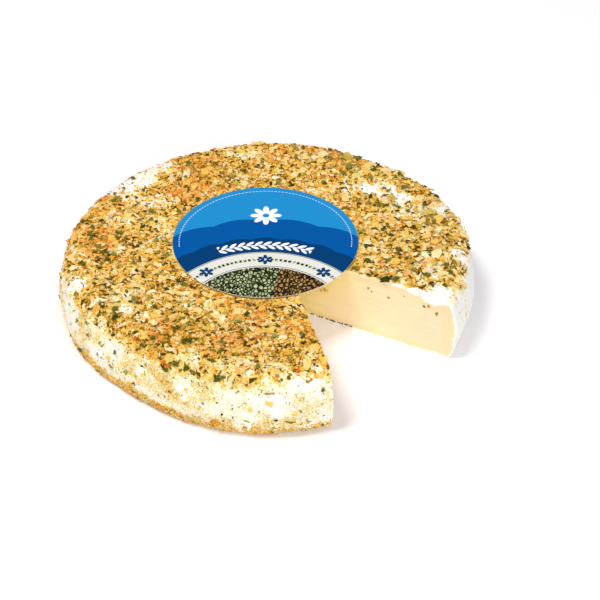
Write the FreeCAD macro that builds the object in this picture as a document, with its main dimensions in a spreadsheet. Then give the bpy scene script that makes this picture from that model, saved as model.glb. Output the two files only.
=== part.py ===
"""A wheel of soft white-rind cheese, coated in herbs and spices, with one wedge cut out of it, and a
round paper label lying on its top.

Frame: +Z up, the wheel standing on z = 0, the origin at the middle of its base, the cut opening
towards +X and -Y, and the label's print upright towards +Y. Sizes are in millimetres.
"""
import FreeCAD, Part
import math
import os

import Sketcher
from FreeCAD import Vector

# ---------------------------------------------------------------- driving dimensions
SIZES = {
    "wheel_radius": 111.0,      # mean radius of the rim, at the widest part of the side
    "wheel_height": 39.0,       # base to top, with the herb coat
    "side_bulge": 1.6,          # how far the middle of the side stands out past its two edges
    "shoulder_radius": 10.0,    # rounding between side and top
    "foot_radius": 6.0,         # rounding between side and base
    "tip_x": 5.7,               # where the two knife cuts meet
    "tip_y": 1.5,
    "wedge_direction": -51.2,   # middle of the wedge, in degrees from +X
    "wedge_angle": 48.0,        # between the two cuts
    "knife_overrun": 20.0,      # how far the cuts run past the rim
    "label_radius": 50.0,
    "label_thickness": 0.4,
    "label_x": -1.4,            # the label was laid on by hand, a little off the middle
    "label_y": 7.0,
}

# The outline of a wheel ripened on a rack isn't round. Each lobe adds a wave to its radius: how many
# crests the wave has round the rim, how high they are, and the angle of one of them in degrees.
LOBES = {
    "oval": {"crests": 2, "size": 0.9, "turn": -8.0},
    "three_lobe": {"crests": 3, "size": 0.9, "turn": 38.0},
    "four_lobe": {"crests": 4, "size": 0.8, "turn": 4.0},
    "six_lobe": {"crests": 6, "size": 0.7, "turn": 19.0},
}
POINTS_PER_CREST = 6            # of the outline's curve, for the lobe with the most crests

LENGTH, DEGREES = " * 1 mm", " * 1 deg"     # give a plain cell its unit in an expression
ON_LEVEL = 0.01                             # an edge this close to a height lies at it


# ---------------------------------------------------------------- the document and its sheet
def make_sheet(doc):
    """Writes every driving dimension into a spreadsheet, in one aliased cell each."""
    sheet = doc.addObject("Spreadsheet::Sheet", "dims")
    values = dict(SIZES)
    for name, lobe in LOBES.items():
        values[name + "_size"] = lobe["size"]
        values[name + "_turn"] = lobe["turn"]
    for row, (name, value) in enumerate(values.items(), start=1):
        sheet.set(f"A{row}", name)
        sheet.set(f"B{row}", str(value))
        sheet.setAlias(f"B{row}", name)
    doc.recompute()
    return sheet


def bind(thing, **cells):
    """Ties properties to expressions on the sheet. Two underscores in a name stand for a dot."""
    for name, expression in cells.items():
        thing.setExpression(name.replace("__", "."), expression)


def add_sketch(body, name):
    """A new empty sketch on the body's own XY plane."""
    sketch = body.newObject("Sketcher::SketchObject", name)
    plane = next(f for f in body.Origin.OriginFeatures if f.Role == "XY_Plane")
    sketch.AttachmentSupport = [(plane, "")]
    sketch.MapMode = "FlatFace"
    return sketch


# ---------------------------------------------------------------- the cheese wheel
def rim_radius(sheet, angle, inset):
    """The outline's radius at an angle in radians, inset from the widest part of the side."""
    radius = sheet.wheel_radius - inset
    for name, lobe in LOBES.items():
        turn = math.radians(getattr(sheet, name + "_turn"))
        radius += getattr(sheet, name + "_size") * math.cos(lobe["crests"] * (angle - turn))
    return radius


def rim_curve(sheet, inset):
    """The wheel's uneven outline, as one closed smooth curve."""
    count = POINTS_PER_CREST * max(lobe["crests"] for lobe in LOBES.values())
    points = []
    for i in range(count):
        angle = 2 * math.pi * i / count
        radius = rim_radius(sheet, angle, inset)
        points.append(Vector(radius * math.cos(angle), radius * math.sin(angle), 0))
    curve = Part.BSplineCurve()
    curve.interpolate(Points=points, PeriodicFlag=True)
    return curve


def rim_section(body, sheet, name, inset, height):
    """One outline of the loft, in two halves, which loft truer than a curve that closes on itself.
    Its height is an expression on the sheet."""
    sketch = add_sketch(body, name)
    whole = rim_curve(sheet, inset)
    start, end = whole.FirstParameter, whole.LastParameter
    halfway = (start + end) / 2
    for first, last in ((start, halfway), (halfway, end)):
        half = whole.copy()
        half.segment(first, last)
        sketch.addGeometry(half, False)
    bind(sketch, AttachmentOffset__Base__z=height)
    return sketch


def edges_at(shape, height):
    """Names of the edges that lie level at a height."""
    names = []
    for i, edge in enumerate(shape.Edges, start=1):
        box = edge.BoundBox
        if abs(box.ZMin - height) < ON_LEVEL and abs(box.ZMax - height) < ON_LEVEL:
            names.append(f"Edge{i}")
    return names


def round_edge(doc, body, name, base, height, radius):
    """Rounds the edge of base that lies at a height, by an expression on the sheet."""
    fillet = body.newObject("PartDesign::Fillet", name)
    fillet.Base = (base, edges_at(base.Shape, height))
    bind(fillet, Radius=radius)
    doc.recompute()
    return fillet


def knife_sketch(body, sheet):
    """The wedge as a triangle: its tip, and the two cuts that run out past the rim."""
    tip = Vector(sheet.tip_x, sheet.tip_y, 0)
    reach = sheet.wheel_radius + sheet.knife_overrun
    ends = []
    for side in (-1, 1):
        angle = math.radians(sheet.wedge_direction + side * sheet.wedge_angle / 2)
        ends.append(tip + Vector(reach * math.cos(angle), reach * math.sin(angle), 0))

    sketch = add_sketch(body, "knife_cuts")
    first, across, second = sketch.addGeometry(
        [
            Part.LineSegment(tip, ends[0]),
            Part.LineSegment(ends[0], ends[1]),
            Part.LineSegment(tip, ends[1]),
        ],
        False,
    )
    start, end, origin = 1, 2, -1
    sketch.addConstraint(
        [
            Sketcher.Constraint("Coincident", first, end, across, start),
            Sketcher.Constraint("Coincident", across, end, second, end),
            Sketcher.Constraint("Coincident", first, start, second, start),
        ]
    )
    angles = "dims.wedge_direction {} dims.wedge_angle / 2"
    length = "(dims.wheel_radius + dims.knife_overrun)" + LENGTH
    for name, constraint, cell in (
        ("tip_x", ("DistanceX", origin, start, first, start, tip.x), "dims.tip_x" + LENGTH),
        ("tip_y", ("DistanceY", origin, start, first, start, tip.y), "dims.tip_y" + LENGTH),
        ("first_length", ("Distance", first, reach), length),
        ("second_length", ("Distance", second, reach), length),
        (
            "first_angle",
            ("Angle", first, math.radians(sheet.wedge_direction - sheet.wedge_angle / 2)),
            "(" + angles.format("-") + ")" + DEGREES,
        ),
        (
            "second_angle",
            ("Angle", second, math.radians(sheet.wedge_direction + sheet.wedge_angle / 2)),
            "(" + angles.format("+") + ")" + DEGREES,
        ),
    ):
        index = sketch.addConstraint(Sketcher.Constraint(*constraint))
        sketch.renameConstraint(index, name)
        sketch.setExpression("Constraints." + name, cell)
    return sketch


def build_wheel(doc, sheet):
    """The cheese: a barrelled round with a rounded shoulder and foot, less the wedge."""
    body = doc.addObject("PartDesign::Body", "cheese_wheel")
    body.Label = "cheese_wheel"
    base = rim_section(body, sheet, "rim_base", sheet.side_bulge, "0 mm")
    middle = rim_section(body, sheet, "rim_middle", 0.0, "dims.wheel_height / 2" + LENGTH)
    top = rim_section(body, sheet, "rim_top", sheet.side_bulge, "dims.wheel_height" + LENGTH)
    doc.recompute()

    round_side = body.newObject("PartDesign::AdditiveLoft", "barrelled_side")
    round_side.Profile = top
    round_side.Sections = [middle, base]    # downwards, because upwards it comes out inside out
    doc.recompute()

    shoulder = round_edge(
        doc, body, "shoulder", round_side, sheet.wheel_height, "dims.shoulder_radius" + LENGTH
    )
    whole = round_edge(doc, body, "foot", shoulder, 0.0, "dims.foot_radius" + LENGTH)

    cut = body.newObject("PartDesign::Pocket", "wedge_cut_out")
    cut.Profile = knife_sketch(body, sheet)
    cut.Type = "ThroughAll"
    cut.Midplane = True
    body.Tip = cut
    doc.recompute()
    if cut.Shape.Volume > whole.Shape.Volume * (1 - sheet.wedge_angle / 720):
        raise RuntimeError("the wedge wasn't cut out of the wheel")
    return body


# ---------------------------------------------------------------- the label
def build_label(doc, sheet):
    """A flat disc of paper that lies on the top and bridges the tip of the cut."""
    body = doc.addObject("PartDesign::Body", "label")
    body.Label = "label"
    sketch = add_sketch(body, "label_outline")
    circle = sketch.addGeometry(Part.Circle(Vector(0, 0, 0), Vector(0, 0, 1), sheet.label_radius), False)
    sketch.addConstraint(Sketcher.Constraint("Coincident", circle, 3, -1, 1))
    size = sketch.addConstraint(Sketcher.Constraint("Radius", circle, sheet.label_radius))
    sketch.renameConstraint(size, "radius")
    sketch.setExpression("Constraints.radius", "dims.label_radius" + LENGTH)

    paper = body.newObject("PartDesign::Pad", "paper")
    paper.Profile = sketch
    bind(paper, Length="dims.label_thickness" + LENGTH)
    body.Tip = paper
    bind(
        body,
        Placement__Base__x="dims.label_x" + LENGTH,
        Placement__Base__y="dims.label_y" + LENGTH,
        Placement__Base__z="dims.wheel_height" + LENGTH,
    )
    doc.recompute()
    return body


# ---------------------------------------------------------------- checks and files
def check(doc, bodies):
    """Stops if any object failed or any sub-part isn't one valid solid."""
    failed = [o.Name for o in doc.Objects if {"Invalid", "Error"} & set(o.State)]
    if failed:
        raise RuntimeError(f"these objects failed: {failed}")
    for body in bodies:
        shape = body.Shape
        if shape.isNull() or not shape.isValid() or len(shape.Solids) != 1:
            raise RuntimeError(f"{body.Label} isn't one valid solid")


def main():
    doc = FreeCAD.newDocument("cheese")
    sheet = make_sheet(doc)
    bodies = [build_wheel(doc, sheet), build_label(doc, sheet)]
    doc.recompute()
    check(doc, bodies)
    os.makedirs("parts", exist_ok=True)
    for body in bodies:
        body.Shape.exportStep(f"parts/{body.Label}.step")
        box = body.Shape.BoundBox
        print(
            f"{body.Label}: {body.Shape.Volume:.0f} mm3, faces {len(body.Shape.Faces)},",
            f"x {box.XMin:.2f} {box.XMax:.2f}, y {box.YMin:.2f} {box.YMax:.2f},",
            f"z {box.ZMin:.2f} {box.ZMax:.2f}",
        )


main()
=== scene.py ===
"""A wheel of soft white-rind cheese in a coat of herbs and spices, with one wedge cut out of it and a
round paper label on top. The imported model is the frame: the pieces below stand for its two nodes.
"""
import math
import random

import bmesh
import bpy
from mathutils import Matrix, Vector, noise
from mathutils.bvhtree import BVHTree


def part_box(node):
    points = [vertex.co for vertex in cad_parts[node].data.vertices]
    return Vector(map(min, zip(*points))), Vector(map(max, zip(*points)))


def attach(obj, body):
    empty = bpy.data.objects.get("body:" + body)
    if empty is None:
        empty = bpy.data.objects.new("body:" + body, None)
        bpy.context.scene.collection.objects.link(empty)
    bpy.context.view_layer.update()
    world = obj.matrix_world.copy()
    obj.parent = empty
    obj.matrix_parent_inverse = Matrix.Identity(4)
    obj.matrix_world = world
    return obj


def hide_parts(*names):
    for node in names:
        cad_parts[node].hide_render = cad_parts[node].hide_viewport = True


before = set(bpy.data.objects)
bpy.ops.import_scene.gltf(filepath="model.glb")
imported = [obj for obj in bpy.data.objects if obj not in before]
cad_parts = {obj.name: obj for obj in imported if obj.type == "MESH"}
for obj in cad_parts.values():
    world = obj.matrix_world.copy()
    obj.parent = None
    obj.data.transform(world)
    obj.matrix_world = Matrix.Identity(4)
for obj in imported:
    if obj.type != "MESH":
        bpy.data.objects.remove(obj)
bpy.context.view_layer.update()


# ---- Rind ---------------------------------------------------------------------------------------
# The white mould skin that grew all round the wheel, about a millimetre thick, soft and uneven.
# Half its section is spun round the point of the knife cuts, from one cut to the other, then drawn
# out to the wheel's own uneven round, dented, and given its wall.
RIND_THICKNESS = 0.0011
HERB_DEPTH = 0.0011               # the herbs stand this far above the skin
SHOULDER, FOOT = 0.0100, 0.0060   # rounding at the top and at the base
SIDE_BULGE = 0.0016
RIM_INSET = 0.0004
SPUN_SIZE = 0.1
SPIN_STEPS = 300
SKIN_CELL = 0.0017

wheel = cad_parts["cheese_wheel"]
wheel_low, wheel_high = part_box("cheese_wheel")
label_low, label_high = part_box("label")
label_middle = (label_low + label_high) / 2
label_radius = (label_high.x - label_low.x) / 2
skin_top = wheel_high.z - HERB_DEPTH
middle = (wheel_low + wheel_high) / 2

# The cuts meet at the corner nearest the wheel's middle; the widest turn with no cheese is the gap.
tip = min((v.co.copy() for v in wheel.data.vertices), key=lambda corner: corner.xy.length)
turns = sorted({
    round(math.atan2(v.co.y - tip.y, v.co.x - tip.x), 5)
    for v in wheel.data.vertices
    if (v.co.xy - tip.xy).length > 0.001
})
gap_angle, near_cut, far_cut = max((b - a, a, b) for a, b in zip(turns, turns[1:]))
cheese_angle = 2 * math.pi - gap_angle
along_far = Vector((math.cos(far_cut), math.sin(far_cut), 0))
along_near = Vector((math.cos(near_cut), math.sin(near_cut), 0))
into_far = Vector((-along_far.y, along_far.x, 0))      # from the cut into the cheese
into_near = Vector((along_near.y, -along_near.x, 0))

wheel_walls = BVHTree.FromObject(wheel, bpy.context.evaluated_depsgraph_get())


def reach(turn):
    """From the knife point out to the wheel's widest, in one direction."""
    inside = 0.004
    past_cut = (turn - far_cut + 0.1) % (2 * math.pi) - 0.1
    turn = far_cut + min(max(past_cut, inside), cheese_angle - inside)
    way = Vector((math.cos(turn), math.sin(turn), 0))
    start = Vector((tip.x, tip.y, middle.z)) + way * 0.03
    return 0.03 + wheel_walls.ray_cast(start, way)[3]


def from_cut(place, along, inward):
    """How far a place is from a cut, which starts at the knife point and runs one way."""
    off = place - tip
    return abs(off.dot(inward)) if off.dot(along) > 0 else off.xy.length


def swell(place):
    """How far the skin stands out or in at a spot: slow waves, dents and fine bloom."""
    waves = noise.noise(place * 22)
    dents = noise.noise(place * 85 + Vector((3, 1, 7)))
    bloom = noise.noise(place * 300)
    return 0.0005 * waves + 0.0005 * dents + 0.00018 * bloom


def spin_round(form, steps, inset):
    """Spins a half section round the knife point and draws it out to the wheel's uneven outline."""
    bmesh.ops.rotate(form, verts=form.verts, matrix=Matrix.Rotation(far_cut, 3, "Z"))
    bmesh.ops.translate(form, verts=form.verts, vec=(tip.x, tip.y, 0))
    bmesh.ops.spin(form, geom=form.verts[:] + form.edges[:] + form.faces[:], cent=(tip.x, tip.y, 0),
                   axis=(0, 0, 1), angle=cheese_angle, steps=steps, use_merge=False)
    bmesh.ops.remove_doubles(form, verts=form.verts, dist=1e-6)
    bmesh.ops.dissolve_degenerate(form, edges=form.edges, dist=1e-6)
    for point in form.verts:
        away = point.co.xy - tip.xy
        if away.length > 1e-6:
            away *= (reach(math.atan2(away.y, away.x)) - inset) / SPUN_SIZE
            point.co.xy = tip.xy + away
    bmesh.ops.recalc_face_normals(form, faces=form.faces)
    if max(form.faces, key=lambda face: face.calc_center_median().z).normal.z < 0:
        bmesh.ops.reverse_faces(form, faces=form.faces)
    form.normal_update()


def link_piece(name, form, material, smooth=True):
    """Makes a finished form into a piece of the wheel's one body."""
    mesh = bpy.data.meshes.new(name)
    form.to_mesh(mesh)
    form.free()
    if smooth:
        mesh.shade_smooth()
        mesh.set_sharp_from_angle(angle=math.radians(50))
    mesh.materials.append(material)
    piece = bpy.data.objects.new(name, mesh)
    bpy.context.scene.collection.objects.link(piece)
    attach(piece, "root")
    return piece


def side_bulge(up):
    """How far the side stands in from its widest, at a height on the section."""
    share = (up - FOOT) / (skin_top - SHOULDER - FOOT)
    return SIDE_BULGE * (2 * min(max(share, 0), 1) - 1) ** 2


# Patches with hardly any herbs, and patches with fewer: turn round the wheel, distance out, height
# and size of each.
BARE_PATCHES = (
    (136, 0.101, 0.038, 0.017), (128, 0.103, 0.037, 0.012), (143, 0.104, 0.037, 0.016), (139, 0.112, 0.032, 0.016),
    (214, 0.090, 0.038, 0.006), (338, 0.099, 0.038, 0.011), (358, 0.103, 0.037, 0.007),
    (196, 0.105, 0.036, 0.009), (264, 0.103, 0.037, 0.007), (279, 0.109, 0.032, 0.007),
    (200, 0.112, 0.022, 0.013), (215, 0.112, 0.016, 0.009), (235, 0.112, 0.027, 0.009), (247, 0.112, 0.026, 0.009),
    (260, 0.112, 0.024, 0.009), (264, 0.112, 0.013, 0.009), (284, 0.111, 0.029, 0.009), (273, 0.112, 0.020, 0.006),
    (222, 0.112, 0.030, 0.006), (208, 0.112, 0.030, 0.006), (256, 0.112, 0.018, 0.006),
    (36, 0.087, 0.038, 0.008), (46, 0.081, 0.038, 0.008),
)
THIN_PATCHES = (
    (67, 0.064, 0.038, 0.011), (52, 0.073, 0.038, 0.013), (42, 0.084, 0.038, 0.013), (33, 0.086, 0.038, 0.013),
    (24, 0.086, 0.038, 0.011), (350, 0.088, 0.038, 0.010), (8, 0.076, 0.038, 0.008), (332, 0.090, 0.038, 0.010),
    (146, 0.086, 0.038, 0.016), (142, 0.075, 0.038, 0.012), (156, 0.064, 0.038, 0.010), (165, 0.060, 0.038, 0.009),
    (163, 0.085, 0.038, 0.010), (180, 0.100, 0.038, 0.009), (209, 0.086, 0.038, 0.013), (228, 0.088, 0.038, 0.010),
    (227, 0.059, 0.038, 0.009), (238, 0.056, 0.038, 0.007), (259, 0.100, 0.038, 0.012), (273, 0.103, 0.038, 0.012),
    (246, 0.098, 0.038, 0.009), (212, 0.107, 0.035, 0.010), (221, 0.088, 0.038, 0.010), (96, 0.092, 0.038, 0.011), (80, 0.096, 0.038, 0.008),
)
# Patches where the coat is more orange.
WARM_PATCHES = (
    (128, 0.070, 0.038, 0.018), (112, 0.088, 0.038, 0.013), (175, 0.094, 0.038, 0.018), (262, 0.056, 0.038, 0.014),
    (256, 0.080, 0.038, 0.012), (233, 0.086, 0.038, 0.014), (284, 0.072, 0.038, 0.012), (348, 0.072, 0.038, 0.012),
    (150, 0.100, 0.038, 0.010), (70, 0.098, 0.038, 0.014),
)
HEAVY_SIDE = math.radians(238)   # more herbs stuck to this side of the wheel
DEEP_FOOT = math.radians(228)    # and the foot was rolled deepest in them here
THIN_LOSS, BARE_LOSS = 0.58, 0.92


def patch_spots(patches):
    for turn, out, up, size in patches:
        turn = math.radians(turn)
        yield Vector((out * math.cos(turn), out * math.sin(turn), up)), size


bare_spots = [(spot, size, BARE_LOSS) for spot, size in patch_spots(BARE_PATCHES)]
bare_spots += [(spot, size, THIN_LOSS) for spot, size in patch_spots(THIN_PATCHES)]


warm_spots = list(patch_spots(WARM_PATCHES))


def warmth(place):
    """How orange the coat is here: about 1 in the middle of a warm patch, 0 or less elsewhere."""
    near = max(1 - ((place - spot).length / size) ** 2 for spot, size in warm_spots)
    return (0.65 * max(near, -0.25) + 0.40 * noise.noise(place * 42 + Vector((2, 8, 1)))
            + 0.60 * noise.noise(place * 150))


def clean_half(place):
    """1 on the half of the wheel where the coat is paler and looser, down to 0 past its middle."""
    return min(max((place.x - 0.02) / 0.05, 0), 1)


def herb_side(place):
    """1 where the most herbs stuck to the side, down to 0 where it is clean."""
    turn = math.atan2(place.y - middle.y, place.x - middle.x)
    return min(max(0.25 + 0.95 * math.cos(turn - HEAVY_SIDE), 0), 1) * (1 - 0.95 * clean_half(place))


def at_foot(place):
    """1 at the foot, down to 0 a few millimetres up, raggedly, and higher up on one side."""
    ragged = noise.noise(place * 130) + 1.5 * noise.noise(place * 60)
    turn = math.atan2(place.y - middle.y, place.x - middle.x)
    rolled = 0.0038 + 0.0040 * max(math.cos(turn - DEEP_FOOT), 0) ** 4
    return 1 - min(max((place.z + 0.0022 * ragged - rolled) / 0.0050, 0), 1)


def coat(place):
    """How thickly the herbs lie at a spot of the skin, from 0 to 1."""
    if place.z < 0.0008:
        return 0.0
    ragged = noise.noise(place * 130) + 0.6 * noise.noise(place * 300 + Vector((5, 5, 5)))
    patchy = noise.noise(place * 42 + Vector((0, 9, 4))) + 0.6 * noise.noise(place * 95)
    # Dense on the top, thinning towards the shoulder and down it.
    below = skin_top - place.z + 0.0024 * ragged + 0.0014 * patchy
    top = 1 - min(max((below - 0.0008) / (0.0080 - 0.0025 * clean_half(place)), 0), 1)
    cover = 1.0 + 0.8 * min(patchy + 0.12, 0) + 0.35 * min(ragged + 0.2, 0) - 0.24 * clean_half(place)
    # The knife took some herbs off along the far cut, most of them at its outer end.
    outward = max(0, (place - tip).dot(along_far) / 0.1 - 0.45)
    far_edge = from_cut(place, along_far, into_far) + 0.0003 - 0.0011 * ragged - 0.0065 * outward
    cover *= min(max(far_edge / 0.0012 + 0.5, 0.06), 1)
    # Dusty on the side, thicker again along the foot, most of all on one side of the wheel.
    heavy = herb_side(place)
    drifts = noise.noise(Vector((place.x * 34, place.y * 34, place.z * 60)) + Vector((4, 4, 1)))
    side = (0.005 + heavy) * (0.26 + 0.66 * drifts + 0.16 * ragged)
    side = max(side, at_foot(place) * heavy * (0.95 + 0.4 * patchy))
    amount = top * cover + (1 - top) * max(side, 0.0)
    kept = 1.0
    for spot, size, loss in bare_spots:
        near = ((place - spot).length + 0.0045 * ragged) / size
        kept = min(kept, 1 - loss * min(max(1.35 - 1.35 * near * near, 0), 1))
    return min(max(amount * kept, 0.0), 1.0)


# Half the section as an open line: out along the base, up the side and back along the top.
skin = bmesh.new()
corners = [(0, 0), (SPUN_SIZE, 0), (SPUN_SIZE, skin_top), (0, skin_top)]
line = [skin.verts.new((far, 0, up)) for far, up in corners]
for start, end in zip(line, line[1:]):
    skin.edges.new((start, end))
for corner, radius, pieces in ((line[1], FOOT, 5), (line[2], SHOULDER, 9)):
    bmesh.ops.bevel(skin, geom=[corner], offset=radius, offset_type="OFFSET", affect="VERTICES",
                    segments=pieces, profile=0.5, material=-1)
for edge in [e for e in skin.edges if e.calc_length() > 2 * SKIN_CELL]:
    cell = 2.5 * SKIN_CELL if max(v.co.z for v in edge.verts) < 1e-6 else SKIN_CELL
    bmesh.ops.subdivide_edges(skin, edges=[edge], cuts=round(edge.calc_length() / cell) - 1)
for point in skin.verts:
    point.co.x -= side_bulge(point.co.z) * max(0, 2 * point.co.x / SPUN_SIZE - 1)
spin_round(skin, SPIN_STEPS, RIM_INSET)
moves = [(point, point.normal * swell(point.co)) for point in skin.verts if point.co.z > 0.0005]
for point, move in moves:
    point.co += move
skin.normal_update()
coat_layer = skin.verts.layers.float.new("coat")
dusty_layer = skin.verts.layers.float.new("dusty")
warm_layer = skin.verts.layers.float.new("warm")
for point in skin.verts:
    point[coat_layer] = coat(point.co)
    point[dusty_layer] = herb_side(point.co)
    point[warm_layer] = warmth(point.co)

# What the herbs are strewn on: each face of the skin with its middle, normal, area, corners and coat.
skin_faces = [
    (face.calc_center_median(), face.normal.copy(), face.calc_area(), [v.co.copy() for v in face.verts],
     coat(face.calc_center_median()))
    for face in skin.faces
    if len(face.verts) == 4
]
bmesh.ops.solidify(skin, geom=skin.faces[:], thickness=RIND_THICKNESS)


def tint(red, green, blue):
    """A colour as it looks, 0 to 255, made linear for the shader."""
    return tuple(
        v / 12.92 if v <= 0.04045 else ((v + 0.055) / 1.055) ** 2.4
        for v in (red / 255, green / 255, blue / 255)
    ) + (1.0,)


class Finish:
    """A material and short ways to add nodes to it. A value is a number, a colour or a socket."""

    def __init__(self, name, **shader_values):
        self.material = bpy.data.materials.new(name)
        self.material.use_nodes = True
        self.tree = self.material.node_tree
        self.shader = self.tree.nodes["Principled BSDF"]
        self.set(self.shader, shader_values)
        self.place = self.add("ShaderNodeTexCoord").outputs["Object"]

    def set(self, node, values):
        for name, value in values.items():
            socket = node.inputs[name if isinstance(name, int) else name.replace("_", " ")]
            if isinstance(value, bpy.types.NodeSocket):
                self.tree.links.new(value, socket)
            else:
                socket.default_value = value

    def add(self, kind, options=None, **values):
        node = self.tree.nodes.new(kind)
        for name, value in (options or {}).items():
            setattr(node, name, value)
        self.set(node, values)
        return node

    def calc(self, operation, *values, clamp=False):
        node = self.add("ShaderNodeMath", {"operation": operation, "use_clamp": clamp})
        self.set(node, dict(enumerate(values)))
        return node.outputs[0]

    def mottle(self, scale, detail=2.0, roughness=0.5, place=None, **values):
        values = {"Vector": place or self.place, "Scale": scale, "Detail": detail,
                  "Roughness": roughness, **values}
        return self.add("ShaderNodeTexNoise", **values).outputs["Fac"]

    def stretch(self, scale=(1, 1, 1), location=(0, 0, 0), turn=0.0):
        node = self.add("ShaderNodeMapping", Vector=self.place)
        node.inputs["Location"].default_value = location
        node.inputs["Rotation"].default_value = (0, 0, turn)
        node.inputs["Scale"].default_value = scale
        return node.outputs["Vector"]

    def step(self, value, low, high, top=1.0):
        node = self.add("ShaderNodeMapRange", {"interpolation_type": "SMOOTHSTEP"})
        self.set(node, {"Value": value, "From_Min": low, "From_Max": high, "To_Max": top})
        return node.outputs["Result"]

    def ramp(self, value, *stops):
        node = self.add("ShaderNodeValToRGB", Fac=value)
        points = node.color_ramp.elements
        while len(points) < len(stops):
            points.new(0.5)
        for point, (position, colour) in zip(points, stops):
            point.position, point.color = position, colour
        return node.outputs["Color"]

    def over(self, amount, under, upper):
        node = self.add("ShaderNodeMix", {"data_type": "RGBA"})
        self.set(node, {0: amount, 6: under, 7: upper})
        return node.outputs[2]

    def own(self, name):
        return self.add("ShaderNodeAttribute", {"attribute_name": name}).outputs["Fac"]

    def relief(self, height, depth, strength=1.0):
        node = self.add("ShaderNodeBump", Height=height, Distance=depth, Strength=strength)
        self.set(self.shader, {"Normal": node.outputs["Normal"]})

    def paint(self, colour):
        self.set(self.shader, {"Base_Color": colour})
        return self.material


# White bloom; where the coat lies, ground spice has stained the skin from cream to deep gold.
bloom = Finish("bloomy_rind", Roughness=0.8, Subsurface_Weight=0.12, Subsurface_Scale=0.003,
               Sheen_Weight=0.1, Sheen_Roughness=0.6, Specular_IOR_Level=0.15)
thick = bloom.own("coat")
speckle = bloom.mottle(460, 3, 0.65)
blotch = bloom.mottle(130, 3, 0.6)
drift = bloom.mottle(48, 2, 0.5)
spiced = bloom.calc("ADD", bloom.calc("MULTIPLY_ADD", thick, 0.80, -1.10),
                    bloom.calc("MULTIPLY_ADD", speckle, 1.05, blotch))
spiced = bloom.calc("MULTIPLY_ADD", drift, 0.55, spiced)
# On the upright side it is loose dust, so the stain breaks up into grit.
height = bloom.add("ShaderNodeSeparateXYZ", Vector=bloom.place).outputs["Z"]
upright = bloom.step(height, skin_top - 0.002, skin_top - SHOULDER)
grit = bloom.calc("MULTIPLY_ADD", bloom.mottle(820, 3, 0.7), 2.1, -1.07)
spiced = bloom.calc("MULTIPLY_ADD", upright, grit, spiced)
skin_colour = bloom.ramp(spiced, (0.22, tint(253, 252, 250)), (0.38, tint(251, 248, 230)),
                         (0.50, tint(247, 237, 190)), (0.62, tint(242, 220, 140)),
                         (0.75, tint(231, 188, 82)), (0.87, tint(206, 150, 44)),
                         (1.00, tint(146, 98, 24)))
creamier = bloom.calc("MULTIPLY", bloom.step(bloom.mottle(240, 3, 0.6), 0.30, 0.60, 0.5), upright)
creamier = bloom.calc("MULTIPLY", creamier, bloom.own("dusty"))
skin_colour = bloom.over(creamier, skin_colour, tint(228, 219, 200))
yellower = bloom.calc("MULTIPLY", bloom.step(height, 0.004, 0.010), upright)
yellower = bloom.calc("MULTIPLY", yellower, bloom.step(spiced, 0.50, 0.80, 0.4))
skin_colour = bloom.over(yellower, skin_colour, tint(230, 200, 92))
warm_coat = bloom.calc("MULTIPLY", bloom.step(bloom.own("warm"), 0.1, 0.9), bloom.step(thick, 0.3, 0.8, 0.3))
skin_colour = bloom.over(warm_coat, skin_colour, tint(226, 142, 60))
# The finest dust: small lemon dots where the side is dusty, and ochre ones where some coat lies.
dots = bloom.mottle(950, 2, 0.55)
lemon = bloom.calc("MULTIPLY_ADD", bloom.own("dusty"), 0.13, dots)
lemon = bloom.step(bloom.calc("MULTIPLY_ADD", thick, 0.06, lemon), 0.68, 0.76, 0.6)
skin_colour = bloom.over(lemon, skin_colour, tint(242, 228, 150))
ochre = bloom.calc("MULTIPLY_ADD", bloom.own("dusty"), 0.04, dots)
ochre = bloom.step(bloom.calc("MULTIPLY_ADD", thick, 0.22, ochre), 0.71, 0.78, 0.8)
skin_colour = bloom.over(ochre, skin_colour, tint(204, 166, 66))
bloom.relief(bloom.calc("ADD", bloom.mottle(900, 3, 0.7), bloom.calc("MULTIPLY", blotch, 1.5)), 0.0004, 0.8)
rind = link_piece("rind", skin, bloom.paint(skin_colour))
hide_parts("cheese_wheel")


# ---- Paste --------------------------------------------------------------------------------------
# The soft cream-coloured cheese inside, cut through by the knife on two sides of the notch.
# A filled half section is spun round inside the rind, and its two cut ends are dragged and swelled.
PASTE_INSET = 0.0007
PASTE_STEPS = 96
CUT_SWELL = 0.0005

paste_form = bmesh.new()
bmesh.ops.create_grid(paste_form, x_segments=60, y_segments=22, size=0.5)
for point in paste_form.verts:
    up = 0.5 - 0.5 * math.cos(math.pi * (point.co.y + 0.5))
    up = PASTE_INSET + up * (skin_top - 2 * PASTE_INSET)
    rounding = side_bulge(up)
    if up < FOOT:
        rounding += FOOT - math.sqrt(FOOT ** 2 - (FOOT - up) ** 2)
    if up > skin_top - SHOULDER:
        rounding += SHOULDER - math.sqrt(SHOULDER ** 2 - (up - skin_top + SHOULDER) ** 2)
    point.co = ((point.co.x + 0.5) * (SPUN_SIZE - rounding - PASTE_INSET), 0, up)
spin_round(paste_form, PASTE_STEPS, RIM_INSET)


def drag(place):
    """How far a cut face stands out: the soft cheese swells in the middle and drags with the knife."""
    share = place.z / skin_top
    along = noise.noise(Vector((place.x * 30, place.y * 30, place.z * 260)))
    return CUT_SWELL * math.sin(math.pi * share) + 0.00012 * along + 0.0002 * noise.noise(place * 70)


paste_form.normal_update()
moves = []
for point in paste_form.verts:
    for inward in (into_far, into_near):
        if abs((point.co - tip).dot(inward)) < 1e-5:
            moves.append((point, -inward * (0.00012 + drag(point.co))))
            break
    else:
        moves.append((point, point.normal * swell(point.co)))
for point, move in moves:
    point.co += move
    point.co.z = max(point.co.z, 0.0004)

# The knife dragged the white skin down over the far cut's outer end.
LIP_AT, LIP_WIDTH, LIP_DROP = 0.0915, 0.0085, 0.0042

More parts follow.
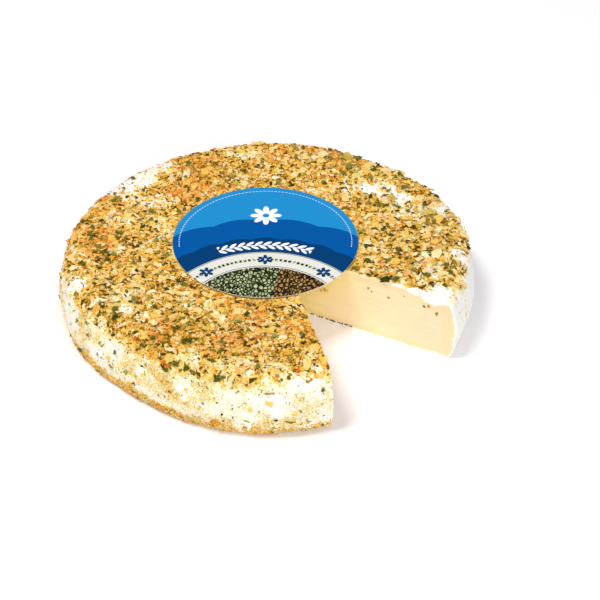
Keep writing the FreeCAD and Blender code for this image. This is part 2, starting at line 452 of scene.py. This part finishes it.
skin_layer = paste_form.verts.layers.float.new("under_skin")
for point in paste_form.verts:
    away = point.co.xy - tip.xy
    side_gap = reach(math.atan2(away.y, away.x)) - away.length if away.length > 0.01 else 1.0
    from_lip = ((point.co - tip).dot(along_far) - LIP_AT) / LIP_WIDTH
    lip = LIP_DROP * math.exp(-from_lip ** 2)
    point[skin_layer] = min(skin_top - lip - point.co.z, point.co.z, 0.5 * side_gap)

paste = Finish("soft_paste", Roughness=0.42, Subsurface_Weight=0.3, Subsurface_Scale=0.006,
               Specular_IOR_Level=0.35)
layers = paste.stretch((0.15, 0.15, 1.0))
smear = paste.mottle(140, 3, 0.55, layers)
scratch = paste.mottle(620, 3, 0.6, paste.stretch((0.07, 0.07, 1.0)))
cloud = paste.mottle(35, 3, 0.5)
# Painted shade and bounced light: the cream turns deeper orange towards the knife point, deep in the notch.
from_tip = paste.stretch((1, 1, 0), (-tip.x, -tip.y, 0))
depth = paste.add("ShaderNodeVectorMath", {"operation": "LENGTH"}, Vector=from_tip).outputs["Value"]
notch_bounce_and_smear = paste.calc("MULTIPLY_ADD", depth, 4.5, paste.calc("MULTIPLY_ADD", smear, 0.25, -0.30))
cream = paste.ramp(paste.calc("MULTIPLY_ADD", cloud, 0.35, notch_bounce_and_smear),
                   (0.10, tint(255, 233, 160)), (0.24, tint(252, 226, 182)), (0.45, tint(251, 217, 181)),
                   (0.80, tint(247, 213, 183)))
cream = paste.over(paste.step(scratch, 0.56, 0.72, 0.24), cream, tint(242, 202, 148))
cream = paste.over(paste.step(scratch, 0.44, 0.30, 0.28), cream, tint(255, 236, 204))
# A riper, yellower band lies under the skin. Nearer still the paste turns white, raggedly, as the
# mould has grown into it.
under_skin = paste.own("under_skin")
band = paste.calc("MULTIPLY", paste.step(under_skin, 0.0055, 0.0025), paste.step(under_skin, 0.0008, 0.0018))
band = paste.calc("MULTIPLY", band, paste.step(cloud, 0.30, 0.62, 0.55))
cream = paste.over(band, cream, tint(250, 212, 146))
ragged_skin = paste.calc("MULTIPLY_ADD", paste.mottle(190, 3, 0.6), 0.0062, -0.0028)
whitened = paste.step(paste.calc("SUBTRACT", under_skin, ragged_skin), 0.0013, -0.0002)
cream = paste.over(whitened, cream, tint(252, 249, 240))
rough_paste = paste.calc("MULTIPLY_ADD", scratch, 0.8, smear)
paste.relief(paste.calc("MULTIPLY_ADD", paste.mottle(420, 2), 0.35, rough_paste), 0.0005, 0.7)
cheese = link_piece("paste", paste_form, paste.paint(cream))


# ---- Herb coat ----------------------------------------------------------------------------------
# Dried granules of pepper, garlic and mustard with broken leaves, pressed on while the skin was soft.
# A few crumbs of each kind are shaped, and copies of them are strewn over the skin by its coat.
rng = random.Random(11)


def crumb_shape(sides, rings, rough, flat=1.0, long=1.0):
    """One angular granule about one unit across."""
    form = bmesh.new()
    bmesh.ops.create_uvsphere(form, u_segments=sides, v_segments=rings, radius=0.5)
    for point in form.verts:
        point.co += Vector([rng.uniform(-rough, rough) for _ in range(3)])
    bmesh.ops.scale(form, verts=form.verts, vec=(long, 1.0, flat))
    return shape_mesh(form)


def leaf_shape(cells_long, cells_wide, width, curl, ragged, thickness):
    """One broken piece of leaf about one unit long, with a wall."""
    form = bmesh.new()
    bmesh.ops.create_grid(form, x_segments=cells_long, y_segments=cells_wide, size=0.5)
    bow, twist = rng.uniform(-curl, curl), rng.uniform(-curl, curl)
    for point in form.verts:
        x, y = point.co.xy
        point.co.y = y * width * (1 - 1.6 * abs(x) ** 2) + bow * x * x
        point.co += Vector([rng.uniform(-ragged, ragged) for _ in range(3)])
        point.co.z += curl * (1 - 4 * x * x) * 0.5 + twist * x * y + curl * 0.8 * y * y
    bmesh.ops.solidify(form, geom=form.faces[:], thickness=thickness)
    bmesh.ops.recalc_face_normals(form, faces=form.faces)
    return shape_mesh(form)


def shape_mesh(form):
    form.verts.layers.float.new("shade")
    form.verts.layers.float.new("warm")
    mesh = bpy.data.meshes.new("shape")
    form.to_mesh(mesh)
    form.free()
    return mesh


def spots(count, liking):
    """Seeded places on the skin, more of them where the liking for a face is high."""
    weights, total = [], 0.0
    for centre, normal, area, corners, thick in skin_faces:
        total += area * max(liking(centre, normal, thick), 0.0)
        weights.append(total)
    for _, normal, _, (a, b, c, d), thick in rng.choices(skin_faces, cum_weights=weights, k=count):
        u, v = rng.random(), rng.random()
        yield a.lerp(b, u).lerp(d.lerp(c, u), v), normal, thick


def lay(place, normal, size, rise, tilt=0.25, low=1.0, turn=None):
    """Where a crumb goes: turned any way round, tipped a little, and risen out of the skin."""
    turned = Matrix.Rotation(rng.uniform(0, 2 * math.pi) if turn is None else turn, 4, "Z")
    tipped = Matrix.Rotation(rng.gauss(0, tilt), 4, "X") @ Matrix.Rotation(rng.gauss(0, tilt), 4, "Y")
    sized = Matrix.Diagonal((size, size, size * low, 1))
    stood = normal.to_track_quat("Z", "Y").to_matrix().to_4x4()
    return Matrix.Translation(place + normal * rise) @ stood @ tipped @ turned @ sized


def heap(name, shapes, laid, material):
    """Strews copies of the shapes, each with its own shade, and makes them one piece."""
    form = bmesh.new()
    for matrix, shade in laid:
        crumb = rng.choice(shapes).copy()
        crumb.transform(matrix)
        corners = len(crumb.vertices)
        crumb.attributes["shade"].data.foreach_set("value", [shade] * corners)
        warm = warmth(matrix.translation) + rng.gauss(0, 0.3)
        crumb.attributes["warm"].data.foreach_set("value", [warm] * corners)
        form.from_mesh(crumb)
        bpy.data.meshes.remove(crumb)
    piece = link_piece(name, form, material, smooth=False)
    return piece


LABEL_LAP = 0.0035   # fine herbs go this far in under the label's edge
SIDE_SHARE = 0.5     # only smaller crumbs stuck to the upright side


def open_skin(place, size):
    """Whether a crumb of this size may lie here: not under the label, and not over a cut."""
    from_label = (place.xy - label_middle.xy).length - label_radius
    if from_label < (-LABEL_LAP if size < 0.0012 else size * 0.45) and place.z > middle.z:
        return False
    edge = min(from_cut(place, along_far, into_far), from_cut(place, along_near, into_near))
    return edge > size * 0.12


def strewn(count, liking, sizes, rise, shade, tilt=0.25, side_share=SIDE_SHARE):
    """The places and shades of one kind of crumb."""
    for place, normal, thick in spots(count, liking):
        size = rng.triangular(*sizes) * (1 + 0.12 * clean_half(place) if normal.z > 0.6 else side_share)
        if place.z < 0.6 * size or not open_skin(place, size):
            continue
        low = 0.55 if (place.xy - label_middle.xy).length < label_radius + size else 1.0
        yield lay(place, normal, size, rise * size * low, tilt, low), shade(place)


def mixed_shade(place):
    """Crumbs of every shade, warmer in the warm parts and paler on the side."""
    paler = 0.2 if place.z < skin_top - 0.6 * SHOULDER else 0.0
    return min(max(rng.gauss(0.5, 0.24) + 0.35 * warmth(place) - paler, 0.0), 1.0)


def any_shade(place):
    paler = 0.16 if place.z < skin_top - 0.6 * SHOULDER else 0.0
    return min(max(rng.gauss(0.55, 0.25) - paler, 0.0), 1.0)


def spice(name, *stops, rough=0.7, through=0.15, warmed=0.0):
    """Dried granules: a colour by each one's shade, mottled, a little light let through. Some kinds
    take on the orange of the warm patches."""
    finish = Finish(name, Roughness=rough, Subsurface_Weight=through, Subsurface_Scale=0.0008,
                    Specular_IOR_Level=0.1)
    grain = finish.mottle(1300, 3, 0.6)
    shade = finish.calc("ADD", finish.own("shade"),
                        finish.calc("MULTIPLY_ADD", grain, 0.9, -0.45), clamp=True)
    colour = finish.ramp(shade, *stops)
    if warmed:
        colour = finish.over(finish.step(finish.own("warm"), 0.0, 1.0, warmed), colour, tint(232, 144, 56))
    finish.relief(grain, 0.00025, 0.6)
    return finish.paint(colour)


def drifting(power, seed, depth, on_clean=0.6):
    """A liking for thick coat, stronger in some parts of the wheel than in others."""
    return lambda centre, normal, thick: (
        thick ** power * max(0.1, 1 + depth * noise.noise(centre * 70 + Vector((seed, 3 * seed, 1))))
        * (1 - (1 - on_clean) * clean_half(centre) if normal.z > 0.6 else 0.6)
        if centre.z > 0.0008 else 0.0)


gold_spice = spice("gold_granules", (0.0, tint(252, 222, 142)), (0.3, tint(245, 202, 92)),
                   (0.65, tint(237, 166, 44)), (1.0, tint(217, 129, 12)), warmed=0.42)
gold_shapes = [
    crumb_shape(rng.choice((5, 6)), 3, 0.17, rng.uniform(0.35, 0.7), rng.uniform(1.0, 1.6))
    for _ in range(14)
]
heap("gold_granules", gold_shapes,
     strewn(10600, drifting(1.2, 1, 0.8), (0.0007, 0.0028, 0.0012), 0.0, mixed_shade, 0.4), gold_spice)

pale_spice = spice("garlic_granules", (0.0, tint(251, 232, 192)), (0.5, tint(248, 213, 152)),
                   (1.0, tint(241, 195, 120)), warmed=0.4)
more_on_clean_half = drifting(0.8, 2, 1.7, 0.75)
heap("garlic_granules", gold_shapes,
     strewn(2900, lambda centre, normal, thick: more_on_clean_half(centre, normal, thick)
            * (0.7 + 0.5 * clean_half(centre) + 0.6 * max(-centre.y / 0.1, 0)), (0.0008, 0.0034, 0.0014), 0.02, mixed_shade, 0.4), pale_spice)

olive_spice = spice("mustard_granules", (0.0, tint(216, 172, 60)), (0.3, tint(172, 132, 42)),
                    (0.6, tint(150, 104, 18)), (1.0, tint(106, 66, 2)), warmed=0.2)
heap("mustard_granules", gold_shapes,
     strewn(5200, drifting(1.1, 3, 0.8), (0.0006, 0.0024, 0.0009), 0.08, mixed_shade, 0.4), olive_spice)


def in_warm_parts(centre, normal, thick):
    """A liking for the top, where the coat is more orange, and less on the clean side."""
    warm = max(0.12, 0.28 + 1.1 * warmth(centre)) * (1 - 0.6 * clean_half(centre))
    return thick ** 2 * warm if normal.z > 0.6 else 0.0


def by_hand(*placed):
    """Single scraps on the skin: turn round the wheel, distance out, height, size and shade."""
    for turn, out, up, size, shade in placed:
        turn = math.radians(turn)
        spot = Vector((out * math.cos(turn), out * math.sin(turn), up))
        centre, normal, *_ = min(skin_faces, key=lambda face: (face[0] - spot).length_squared)
        spot -= normal * (spot - centre).dot(normal)
        yield lay(spot, normal, size, 0.12 * size, 0.10, turn=rng.choice((None, 0.1, 3.0))), shade


orange_spice = spice("pepper_granules", (0.0, tint(246, 200, 142)), (0.25, tint(241, 180, 88)),
                     (0.6, tint(228, 146, 52)), (1.0, tint(192, 80, 30)))
few_red = by_hand((241, 0.105, 0.035, 0.0036, 0.95), (242, 0.105, 0.035, 0.0030, 0.80),
                  (240, 0.105, 0.035, 0.0032, 0.60), (241, 0.107, 0.034, 0.0024, 0.90))
heap("pepper_granules", gold_shapes,
     [*strewn(1700, in_warm_parts, (0.0008, 0.0032, 0.0013), 0.04,
              lambda place: min(max(rng.gauss(0.35, 0.22), 0), 1), 0.4), *few_red], orange_spice)


cut_length = reach(far_cut)


def on_far_cut(count, first, last, low, high, sizes, shades):
    """Crumbs on the far cut, between two shares of its length and two heights: crumbs the knife
    dragged, and a dark line along its foot that is partly painted shadow.
    """
    for _ in range(count):
        place = Vector((tip.x, tip.y, rng.uniform(low, high))) + along_far * cut_length * rng.uniform(first, last)
        size = rng.triangular(*sizes)
        yield lay(place, -into_far, size, drag(place) + 0.0003, 0.05), rng.uniform(*shades)


def on_foot(centre, normal, thick):
    """A liking for the foot of the dusty side, where the wheel was rolled in what had fallen."""
    clumps = max(0.1, 0.6 + 1.6 * noise.noise(centre * 60 + Vector((7, 1, 0))))
    return at_foot(centre) ** 2 * herb_side(centre) * clumps if centre.z > 0.0008 else 0.0


foot_spice = spice("foot_crumbs", (0.0, tint(243, 208, 112)), (0.5, tint(230, 170, 62)),
                   (0.8, tint(176, 120, 40)), (1.0, tint(112, 72, 30)))
# A dark line of crumbs along the foot of the far cut: real crumbs, and partly painted contact shadow.
cut_foot_crumbs_and_shadow = on_far_cut(64, 0.18, 0.42, 0.0008, 0.0013, (0.0004, 0.0009, 0.0006), (0.9, 1.0))
smear_on_cut = on_far_cut(3, 0.24, 0.28, skin_top / 2, skin_top / 2 + 0.002, (0.0012, 0.0024, 0.0018), (0.35, 0.6))
few_on_side = by_hand((256, 0.1120, 0.0080, 0.0038, 0.70), (257, 0.1120, 0.0075, 0.0030, 0.60),
                      (266, 0.1120, 0.0200, 0.0026, 0.20), (248, 0.1120, 0.0260, 0.0020, 0.30),
                      (234, 0.1120, 0.0240, 0.0026, 0.20), (221, 0.1120, 0.0220, 0.0024, 0.35),
                      (229, 0.1120, 0.0120, 0.0028, 0.50), (277, 0.1110, 0.0130, 0.0024, 0.20),
                      (271, 0.1110, 0.0240, 0.0030, 0.15), (211, 0.1120, 0.0140, 0.0028, 0.30))
heap("foot_crumbs", gold_shapes,
     [*strewn(1400, on_foot, (0.0008, 0.0036, 0.0014), 0.08,
              lambda place: min(max(rng.gauss(0.4, 0.22), 0), 0.85), 0.3),
      *cut_foot_crumbs_and_shadow, *smear_on_cut, *few_on_side], foot_spice)


def dusty(centre, normal, thick):
    """Dust lies everywhere some coat does, and most shows on the side."""
    return max(thick - 0.02, 0) ** 0.7 * (1.0 if normal.z > 0.6 else 2.2) if centre.z > 0.0008 else 0.0


dust_shapes = [crumb_shape(3, 2, 0.12, 0.7) for _ in range(6)]
dust_spice = spice("spice_dust", (0.0, tint(243, 216, 122)), (0.5, tint(222, 178, 74)),
                   (1.0, tint(150, 116, 30)))
heap("spice_dust", dust_shapes,
     strewn(24000, dusty, (0.0005, 0.0018, 0.0008), 0.15, mixed_shade), dust_spice)


# ---- Flakes and leaves in the coat --------------------------------------------------------------
# Dried onion in thin curled flakes, and parsley and chives broken small, lying flat or on edge.
# Each is a curled scrap with a wall; a few much larger ones are strewn last.
def mostly_top(power, on_side=0.35, at_back=1.0, on_clean=0.15):
    """Flakes fell on the top more than they stuck to the side, where they lie even on bare skin."""
    def liking(centre, normal, thick):
        back = min(max(centre.y / 0.1, 0), 1)
        if normal.z > 0.6:
            return (max(thick, 0.03) ** power * (1 - back * (1 - at_back))
                    * (1 + on_clean * clean_half(centre)))
        return max(thick, 0.25) ** power * on_side * herb_side(centre) ** 2 if centre.z > 0.002 else 0.0
    return liking


onion = spice("onion_flakes", (0.0, tint(252, 236, 200)), (0.3, tint(247, 214, 152)),
              (0.6, tint(240, 192, 88)), (0.85, tint(228, 188, 92)), (1.0, tint(204, 170, 86)),
              rough=0.5, through=0.3, warmed=0.35)
onion_scraps = [leaf_shape(4, 3, rng.uniform(0.35, 0.75), 0.18, 0.08, 0.04) for _ in range(12)]
heap("onion_flakes", onion_scraps,
     strewn(680, mostly_top(1.1, 0.1, 1.0, 0.7), (0.0022, 0.0072, 0.0034), 0.10, mixed_shade, 0.25), onion)

# Many small dark specks: real herb specks, and partly painted shade in the gaps between the granules.
speck_and_gap_shade_brown = spice("herb_specks_and_gap_shade", (0.0, tint(138, 104, 14)), (0.5, tint(96, 68, 0)),
                    (1.0, tint(54, 38, 0)), through=0.0)
scraps = [leaf_shape(3, 2, rng.uniform(0.25, 0.60), 0.22, 0.09, 0.08) for _ in range(10)]
scraps += [leaf_shape(4, 1, rng.uniform(0.16, 0.26), 0.18, 0.03, 0.07) for _ in range(6)]
on_cut = on_far_cut(2, 0.45, 0.90, skin_top - 0.009, skin_top - 0.005, (0.0008, 0.0013, 0.0010), (0.5, 0.7))
heap("herb_specks_and_gap_shade", scraps,
     [*strewn(3450, mostly_top(0.9, 0.56, 0.65, 0.15), (0.0006, 0.0034, 0.0013), 0.24, any_shade, 0.35, 0.6),
      *on_cut],
     speck_and_gap_shade_brown)


def sprig_shape(bits):
    """A few scraps of leaf still hanging together, about one unit across."""
    form = bmesh.new()
    for _ in range(bits):
        bit = rng.choice(sprig_bits).copy()
        aside = Matrix.Translation((rng.gauss(0, 0.17), rng.gauss(0, 0.12), rng.uniform(0, 0.12)))
        bit.transform(aside @ Matrix.Rotation(rng.uniform(0, 2 * math.pi), 4, "Z")
                      @ Matrix.Rotation(rng.gauss(0, 0.35), 4, "X") @ Matrix.Scale(rng.uniform(0.45, 0.8), 4))
        form.from_mesh(bit)
    return shape_mesh(form)


leaf_green = spice("dark_leaves", (0.0, tint(158, 156, 80)), (0.3, tint(124, 124, 46)),
                   (0.65, tint(84, 90, 20)), (1.0, tint(46, 50, 2)), through=0.0)
sprig_bits = [leaf_shape(3, 1, rng.uniform(0.35, 0.70), 0.25, 0.12, 0.09) for _ in range(8)]
sprigs = [sprig_shape(rng.choice((2, 3, 3, 4, 5))) for _ in range(14)]
green_on_cut = on_far_cut(5, 0.45, 0.90, skin_top - 0.011, skin_top - 0.006, (0.0013, 0.0025, 0.0020), (0.0, 0.6))
round_red = by_hand((242.5, 0.1045, 0.0355, 0.0036, 0.5), (241.5, 0.1075, 0.0325, 0.0040, 0.6),
                    (240.5, 0.1070, 0.0335, 0.0030, 0.9), (239.0, 0.1040, 0.0355, 0.0030, 0.7),
                    (250, 0.1060, 0.0345, 0.0038, 0.6), (257, 0.1065, 0.0340, 0.0046, 0.7),
                    (258, 0.1060, 0.0345, 0.0030, 0.5), (266, 0.1060, 0.0345, 0.0036, 0.8),
                    (276, 0.1050, 0.0350, 0.0034, 0.6))
large_sprigs = strewn(42, mostly_top(0.9, 0.0, 0.8, 1.6), (0.0032, 0.0054, 0.0042), 0.12,
                      lambda place: rng.uniform(0.45, 0.90), 0.10)
heap("dark_leaves", sprigs,
     [*strewn(250, mostly_top(0.9, 0.8, 0.45, 0.1), (0.0013, 0.0052, 0.0027), 0.20, any_shade, 0.2, 0.75),
      *green_on_cut, *round_red, *large_sprigs], leaf_green)

chive = spice("chive_cuts", (0.0, tint(176, 162, 70)), (0.5, tint(128, 126, 40)), (1.0, tint(70, 76, 16)),
              through=0.0)
chive_cuts = [leaf_shape(4, 1, rng.uniform(0.13, 0.20), 0.12, 0.03, 0.10) for _ in range(6)]
long_cuts = by_hand((271, 0.1110, 0.0300, 0.0052, 0.35), (276, 0.1115, 0.0115, 0.0042, 0.6),
                    (265, 0.1120, 0.0125, 0.0036, 0.2), (281, 0.1115, 0.0100, 0.0036, 0.3),
                    (243, 0.1120, 0.0060, 0.0036, 0.3), (222, 0.1120, 0.0170, 0.0034, 0.7))
heap("chive_cuts", chive_cuts,
     [*strewn(330, mostly_top(0.5, 0.6, 0.8), (0.0014, 0.0052, 0.0026), 0.14, any_shade, 0.2, 0.65), *long_cuts],
     chive)

leaf_olive = spice("pale_leaves", (0.0, tint(240, 230, 190)), (0.35, tint(236, 204, 118)),
                   (0.7, tint(190, 164, 66)), (1.0, tint(112, 110, 52)), rough=0.5, through=0.3)
large_scraps = [leaf_shape(5, 3, rng.uniform(0.35, 0.75), 0.16, 0.09, 0.035) for _ in range(9)]
few_large = strewn(28, mostly_top(1.0, 0.05, 1.0, 1.0), (0.0050, 0.0100, 0.0060), 0.12,
                   lambda place: rng.uniform(0.1, 0.9), 0.10)
heap("pale_leaves", large_scraps,
     [*strewn(230, mostly_top(1.0, 0.1), (0.0020, 0.0060, 0.0028), 0.08, mixed_shade, 0.2), *few_large],
     leaf_olive)


# ---- Label --------------------------------------------------------------------------------------
# A round of thin coated paper, printed on its upper side and laid on the herbs, so it waves a little.
paper_form = bmesh.new()
bmesh.ops.create_circle(paper_form, cap_ends=True, radius=label_radius, segments=144)
for _ in range(15):
    inner = max(paper_form.faces, key=lambda face: len(face.verts))
    bmesh.ops.inset_region(paper_form, faces=[inner], thickness=label_radius / 16,
                            use_even_offset=True, use_boundary=True)
inner = max(paper_form.faces, key=lambda face: len(face.verts))
bmesh.ops.poke(paper_form, faces=[inner])
bmesh.ops.translate(paper_form, verts=paper_form.verts, vec=(label_middle.x, label_middle.y, label_low.z))
for point in paper_form.verts:
    edge = (point.co.xy - label_middle.xy).length / label_radius
    point.co.z += 0.0002 + (0.00022 * noise.noise(point.co * 60) + 0.0001 * noise.noise(point.co * 160)) * edge
bmesh.ops.recalc_face_normals(paper_form, faces=paper_form.faces)
if paper_form.faces[0].normal.z < 0:
    bmesh.ops.reverse_faces(paper_form, faces=paper_form.faces)
bmesh.ops.solidify(paper_form, geom=paper_form.faces[:], thickness=0.00028)
paper_form.normal_update()
printed_layer = paper_form.faces.layers.float.new("printed")
for face in paper_form.faces:
    face[printed_layer] = 1.0 if face.normal.z > 0.5 else 0.0

# The print: arched fields of sky, royal and navy blue, two white bands and a leafy ground, with
# plain white flowers and leaves. Sizes are shares of the label's radius.
paper = Finish("label_paper", Roughness=0.5, Specular_IOR_Level=0.03)
share = 1 / label_radius
on_label = paper.add("ShaderNodeSeparateXYZ", **{"Vector": paper.stretch(
    (share, share, 0), (-label_middle.x * share, -label_middle.y * share, 0))})
across, up_label = on_label.outputs["X"], on_label.outputs["Y"]


def polar(x, y):
    """Distance and turn from straight up, about a centre."""
    far = paper.calc("SQRT", paper.calc("ADD", paper.calc("MULTIPLY", x, x), paper.calc("MULTIPLY", y, y)))
    return far, paper.calc("ARCTAN2", x, y)


def about(x, y):
    return polar(paper.calc("SUBTRACT", across, x), paper.calc("SUBTRACT", up_label, y))


def within(value, low, high, soft=0.004):
    """1 between two values, with a soft edge."""
    return paper.calc("MULTIPLY", paper.step(value, low - soft, low + soft),
                      paper.calc("SUBTRACT", 1.0, paper.step(value, high - soft, high + soft)))


def both(first, second):
    return paper.calc("MULTIPLY", first, second)


def flower(x, y, size, petals):
    far, turn = about(x, y)
    petal = paper.calc("ABSOLUTE", paper.calc("COSINE", paper.calc("MULTIPLY", turn, petals / 2)))
    edge = paper.calc("MULTIPLY_ADD", petal, size * 0.55, size * 0.45)
    return both(paper.step(paper.calc("SUBTRACT", edge, far), -0.005, 0.005), within(far, size * 0.22, 9))


arch, arch_turn = about(0, -1.30)
ring, ring_turn = about(0, 0)
waves = paper.calc("ABSOLUTE", paper.calc("SINE", paper.calc("MULTIPLY", arch_turn, 9)))
sky_edge = paper.calc("SUBTRACT", arch, paper.calc("MULTIPLY", waves, 0.05))
sea = paper.calc("ABSOLUTE", paper.calc("COSINE", paper.calc("MULTIPLY", arch_turn, 13)))
navy_edge = paper.calc("SUBTRACT", arch, paper.calc("MULTIPLY", sea, 0.03))

leafy = paper.add("ShaderNodeTexVoronoi", {"feature": "DISTANCE_TO_EDGE"}, Scale=560.0,
                  Vector=paper.stretch((1.0, 0.62, 1), turn=0.6)).outputs["Distance"]
leafy = paper.step(leafy, 0.05, 0.22)
leaf_light = paper.mottle(900, 2, 0.6)
greens = paper.ramp(both(leafy, leaf_light), (0.0, tint(24, 26, 14)), (0.32, tint(102, 114, 74)),
                    (0.6, tint(204, 212, 166)))
browns = paper.ramp(both(leafy, leaf_light), (0.0, tint(26, 20, 14)), (0.32, tint(110, 80, 44)),
                    (0.6, tint(196, 158, 96)))
print_colour = paper.over(paper.step(arch_turn, 0.20, 0.22), greens, browns)
navy_field = tint(0, 60, 112)
print_colour = paper.over(paper.step(arch, 1.096, 1.104), print_colour, navy_field)
print_colour = paper.over(paper.step(navy_edge, 1.33, 1.338), print_colour, tint(0, 85, 159))
print_colour = paper.over(paper.step(sky_edge, 1.66, 1.668), print_colour, tint(31, 139, 203))
print_colour = paper.over(within(arch, 0.83, 1.10), print_colour, tint(224, 224, 216))
beads = paper.calc("PINGPONG", paper.calc("MULTIPLY", arch_turn, 40), 1.0)
print_colour = paper.over(both(within(arch, 0.945, 0.985), paper.step(beads, 0.25, 0.4)), print_colour, greens)
for line_at in (0.845, 1.085):
    print_colour = paper.over(within(arch, line_at, line_at + 0.008), print_colour, tint(40, 48, 60))

ink_white = tint(245, 248, 250)
white_ink = flower(0, 0.47, 0.17, 8)
garland = within(arch_turn, -0.42, 0.42)
stem = both(within(arch, 1.216, 1.228), garland)
LEAF_TURN, LEAF_LENGTH, LEAF_WIDTH = 0.075, 0.050, 0.019
for side in (-1, 1):
    shifted = paper.calc("ADD", arch_turn, LEAF_TURN * (10 + 0.25 * side))
    along = paper.calc("SUBTRACT", paper.calc("MODULO", shifted, LEAF_TURN), LEAF_TURN / 2)
    along = paper.calc("MULTIPLY", along, 1.22)
    out = paper.calc("SUBTRACT", arch, 1.222 + 0.036 * side)
    tilt = 0.6 * side
    long_way = paper.calc("ADD", paper.calc("MULTIPLY", along, math.cos(tilt) / LEAF_LENGTH),
                          paper.calc("MULTIPLY", out, math.sin(tilt) / LEAF_LENGTH))
    short_way = paper.calc("ADD", paper.calc("MULTIPLY", along, -math.sin(tilt) / LEAF_WIDTH),
                           paper.calc("MULTIPLY", out, math.cos(tilt) / LEAF_WIDTH))
    leaf = polar(long_way, short_way)[0]
    white_ink = paper.calc("MAXIMUM", white_ink, both(paper.step(leaf, 1.1, 0.9), garland))
dashes = paper.step(paper.calc("PINGPONG", paper.calc("MULTIPLY", ring_turn, 46), 1.0), 0.3, 0.4)
dashed = both(both(within(ring, 0.927, 0.933), dashes), paper.step(up_label, -0.12, -0.10))
white_ink = paper.calc("MAXIMUM", white_ink, paper.calc("MAXIMUM", stem, dashed))
print_colour = paper.over(white_ink, print_colour, ink_white)
for x in (-0.62, 0.0, 0.62):
    print_colour = paper.over(flower(x, -1.30 + math.sqrt(0.965 ** 2 - x * x), 0.085, 6), print_colour, navy_field)
print_colour = paper.over(paper.own("printed"), tint(240, 238, 232), print_colour)
paper.relief(paper.mottle(1500, 2), 0.00005, 0.4)
paper_sheet = link_piece("paper_label", paper_form, paper.paint(print_colour))
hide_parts("label")

# ---- Studio -------------------------------------------------------------------------------------
# A pale sweep under the wheel, a broad soft light over it and the camera in front and above.
floor_form = bmesh.new()
bmesh.ops.create_grid(floor_form, x_segments=2, y_segments=2, size=3)
floor_mesh = bpy.data.meshes.new("floor")
floor_form.to_mesh(floor_mesh)
floor_form.free()
sweep = Finish("pale_sweep", Roughness=0.9, Specular_IOR_Level=0.1)
floor_mesh.materials.append(sweep.paint(sweep.ramp(sweep.mottle(3), (0.3, tint(250, 249, 250)),
                                                   (0.7, tint(253, 252, 253)))))
floor = bpy.data.objects.new("floor", floor_mesh)
bpy.context.scene.collection.objects.link(floor)


def softbox(name, place, size, power, colour=(1, 1, 1)):
    data = bpy.data.lights.new(name, "AREA")
    data.shape, data.size, data.energy, data.color = "DISK", size, power, colour
    lamp = bpy.data.objects.new(name, data)
    lamp.location = place
    lamp.rotation_euler = (-Vector(place)).to_track_quat("-Z", "Y").to_euler()
    bpy.context.scene.collection.objects.link(lamp)


softbox("key", (-1.1, -0.5, 2.9), 1.2, 57, (1.0, 0.985, 0.955))
softbox("fill", (0.6, -2.55, 1.9), 2.0, 52.5)

camera_data = bpy.data.cameras.new("camera")
camera_data.lens, camera_data.sensor_width = 150, 36
camera_data.clip_end = 20
camera = bpy.data.objects.new("camera", camera_data)
bpy.context.scene.collection.objects.link(camera)
CAMERA_HEIGHT_ANGLE, CAMERA_DISTANCE = math.radians(37.6), 1.369
look_at = Vector((0.0172, 0.0058, 0))
camera.location = look_at + CAMERA_DISTANCE * Vector(
    (0, -math.cos(CAMERA_HEIGHT_ANGLE), math.sin(CAMERA_HEIGHT_ANGLE)))
camera.rotation_euler = (look_at - camera.location).to_track_quat("-Z", "Y").to_euler()
bpy.context.scene.camera = camera

world = bpy.data.worlds.new("studio")
world.use_nodes = True
world.node_tree.nodes["Background"].inputs["Color"].default_value = (0.98, 0.965, 1.0, 1)
world.node_tree.nodes["Background"].inputs["Strength"].default_value = 0.37
bpy.context.scene.world = world
bpy.context.scene.view_settings.view_transform = "Standard"
